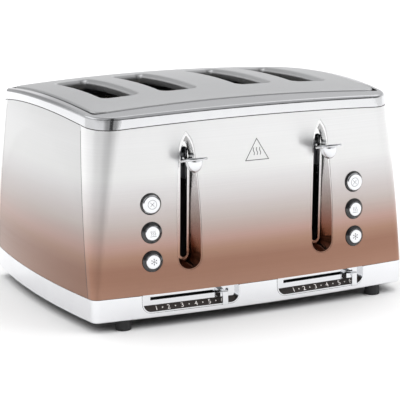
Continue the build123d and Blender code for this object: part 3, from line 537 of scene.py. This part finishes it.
BUTTONS = (("cancel", 111.2, 8.15), ("reheat", 85.8, 6.55), ("defrost", 60.4, 6.55))
for side_name, sg in (("left", -1), ("right", 1)):
    for kind, z, r in BUTTONS:
        node = f"{side_name}_{kind}_button"
        tree = tree_of(node)
        lo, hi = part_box(node)
        cx, cz = (lo.x + hi.x) / 2, (lo.z + hi.z) / 2
        line_mark(f"{side_name}_{kind}_sign", icon(kind, 0.78 * r * MM), 0.42 * MM, tree,
                  lambda p, cx=cx, cz=cz: Vector((cx + p.x, -0.2, cz + p.y)), Vector((0, 1, 0)),
                  M["grey_ink"], f"{side_name}_{kind}_button", 0.00005)

# numerals and dots on the scale strips
HALF_W, HALF_D, BOW_FRONT, Y_SHIFT = 156.3, 126.3, 8.86, 8.5
WIN_C = 65.7


def strip_frame(sg):
    x = sg * WIN_C
    slope = 2 * BOW_FRONT * x / HALF_W ** 2
    n = math.sqrt(1 + slope ** 2)
    along = Vector((1 / n, slope / n, 0))
    outward = Vector((slope / n, -1 / n, 0))
    y = -(HALF_D + BOW_FRONT * (1 - (x / HALF_W) ** 2)) + Y_SHIFT
    origin = Vector((x, y, 0))
    upward = (outward * -4.15 + Vector((0, 0, 4.6))).normalized()
    normal = along.cross(upward)
    if normal.dot(outward) < 0:
        normal = -normal
    middle = origin + outward * -3.325 + Vector((0, 0, 17.1))
    middle += outward * 0.0
    strip = tree_of(("left" if sg < 0 else "right") + "_scale_strip")
    hit, _, _, _ = strip.ray_cast((middle + normal * 12) * MM, -normal)
    if hit is not None:
        middle = middle + normal * (hit / MM - middle).dot(normal)
    return origin, along, outward, upward, normal, middle


MARKS = {-1: (-98.4, -86.9, -73.9, -60.7, -47.7, -35.3), 1: (37.7, 48.8, 61.0, 73.3, 86.7, 98.9)}
for side_name, sg in (("left", -1), ("right", 1)):
    origin, along, outward, upward, normal, middle = strip_frame(sg)
    verts, faces = [], []

    def put(local_verts, local_faces, u):
        base = len(verts)
        for x, y, z in local_verts:
            p = middle + along * (u + x) + upward * y + normal * (z + 0.04)
            verts.append(tuple(p * MM))
        faces.extend([tuple(base + i for i in f) for f in local_faces])

    for i, x in enumerate(MARKS[sg]):
        cu = bpy.data.curves.new("numeral", "FONT")
        cu.body = str(i + 1)
        cu.size = 6.2
        cu.align_x = "CENTER"
        cu.align_y = "CENTER"
        cu.extrude = 0.05
        cu.resolution_u = 3
        tmp = bpy.data.objects.new("numeral", cu)
        scene.collection.objects.link(tmp)
        bpy.context.view_layer.update()
        me = bpy.data.meshes.new_from_object(tmp.evaluated_get(bpy.context.evaluated_depsgraph_get()))
        ys = [v.co.y for v in me.vertices]
        xs = [v.co.x for v in me.vertices]
        ym, xm = (min(ys) + max(ys)) / 2, (min(xs) + max(xs)) / 2
        put([(v.co.x - xm, v.co.y - ym, v.co.z) for v in me.vertices], [tuple(p.vertices) for p in me.polygons], x - sg * WIN_C)
        bpy.data.objects.remove(tmp)
        bpy.data.meshes.remove(me)
        if i < 5:
            u = (x + MARKS[sg][i + 1]) / 2 - sg * WIN_C
            ring = [(0.6 * math.cos(a * math.pi / 6), 0.6 * math.sin(a * math.pi / 6)) for a in range(12)]
            put([(px, py, 0.05) for px, py in ring] + [(px, py, -0.05) for px, py in ring],
                [tuple(range(12)), tuple(range(23, 11, -1))] + [(j, (j + 1) % 12, 12 + (j + 1) % 12, 12 + j) for j in range(12)], u)
    new_piece(f"{side_name}_scale_numerals", verts, faces, M["ink"], "housing")

# ------------------------------------------------------------------ painted shade: dark bands laid along the cover seams in place of their shadow gaps
shell_verts, shell_faces = [], []
for n_ in ("front_wrap_panel", "rear_wrap_panel", "left_side_panel", "right_side_panel", "top_hood", "base_band"):
    me = nodes[n_].data
    base = len(shell_verts)
    shell_verts += [v.co.copy() for v in me.vertices]
    shell_faces += [tuple(base + i for i in p.vertices) for p in me.polygons]
shell = BVHTree.FromPolygons(shell_verts, shell_faces)


def gap_shade_strip(name, rays, closed, raised=0.00003, sunk=0.0005):
    """a narrow dark band of painted shade bridging a seam's gap; rays are pairs of (origin, direction) either side of
    the gap
    """
    verts, faces, rows = [], [], []
    for pair in rays:
        hits = []
        for origin_, into in pair:
            hit, nrm, _, _ = shell.ray_cast(origin_, into)
            hits.append((hit, into))
        if any(h is None for h, _ in hits):
            continue
        if (hits[0][0] - hits[1][0]).length > 0.004:
            continue
        rows.append(len(verts))
        (a_, ia), (b_, ib) = hits
        verts.extend([tuple(a_ - ia * raised), tuple(b_ - ib * raised), tuple(b_ + ib * sunk), tuple(a_ + ia * sunk)])
    n_rows = len(rows)
    for j in range(n_rows if closed else n_rows - 1):
        r0, r1 = rows[j], rows[(j + 1) % n_rows]
        for q in range(4):
            q2 = (q + 1) % 4
            faces.append((r0 + q, r0 + q2, r1 + q2, r1 + q))
    if not closed:
        faces.append((rows[0] + 3, rows[0] + 2, rows[0] + 1, rows[0]))
        faces.append((rows[-1], rows[-1] + 1, rows[-1] + 2, rows[-1] + 3))
    return new_piece(name, verts, faces, M["ink_and_gap_shade"], "housing")


def seam_height(x, y):
    return (192.25 - 0.000288 * (x / MM) ** 2 - 0.000658 * (y / MM - Y_SHIFT) ** 2) * MM


ring = []
centre = Vector((0, Y_SHIFT * MM, 0))
for i in range(900):
    a = i / 900 * 2 * math.pi
    d = Vector((math.cos(a), math.sin(a) * 0.83, 0)).normalized()
    start = centre + d * 0.4
    hit = None
    z = 0.176
    for _ in range(2):
        hit, nrm, _, _ = shell.ray_cast(Vector((start.x, start.y, z - 0.0006)), -d)
        z = seam_height(hit.x, hit.y)
    ring.append(((Vector((start.x, start.y, z - 0.00040)), -d), (Vector((start.x, start.y, z + 0.00040)), -d)))
gap_shade_strip("hood_gap_shade", ring, True)
for side_name, sg in (("left", -1), ("right", 1)):
    for end_name, e in (("front", -1), ("rear", 1)):
        rays = []
        for i in range(80):
            z = 30.9 + (175.0 - 30.9) * i / 79
            y = (116.5 + (95.5 - 116.5) * (z - 30.16) / (176.4 - 30.16)) * e + Y_SHIFT
            rays.append(((Vector((sg * 0.3, (y - 0.33) * MM, z * MM)), Vector((-sg, 0, 0))),
                         (Vector((sg * 0.3, (y + 0.33) * MM, z * MM)), Vector((-sg, 0, 0)))))
        gap_shade_strip(f"{side_name}_{end_name}_gap_shade", rays, False)

# ------------------------------------------------------------------ wound return springs in place of their plain solids
for side_name, sg in (("left", -1), ("right", 1)):
    node = f"{side_name}_return_spring"
    lo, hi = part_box(node)
    cx, cy = (lo.x + hi.x) / 2, (lo.y + hi.y) / 2
    wire = 0.00055
    radius = (hi.x - lo.x) / 2 - wire
    turns, per = 13, 20
    verts, faces = [], []
    n = turns * per
    for i in range(n + 1):
        t = i / n
        a = t * turns * 2 * math.pi
        z = lo.z + wire + (hi.z - lo.z - 2 * wire) * (0.02 * min(t / 0.06, 1) + 0.96 * max(0.0, min((t - 0.06) / 0.88, 1)) + 0.02 * max(0.0, (t - 0.94) / 0.06))
        centre = Vector((cx + radius * math.cos(a), cy + radius * math.sin(a), z))
        radial = Vector((math.cos(a), math.sin(a), 0))
        for q in range(6):
            b = q / 6 * 2 * math.pi
            verts.append(tuple(centre + radial * (wire * math.cos(b)) + Vector((0, 0, wire * math.sin(b)))))
    for i in range(n):
        for q in range(6):
            q2 = (q + 1) % 6
            faces.append((i * 6 + q, i * 6 + q2, (i + 1) * 6 + q2, (i + 1) * 6 + q))
    faces.append(tuple(range(5, -1, -1)))
    faces.append(tuple(n * 6 + q for q in range(6)))
    coil = new_piece(f"{side_name}_spring_coil", verts, faces, M["rod"], "housing", True)
    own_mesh(coil)
    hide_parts(node)
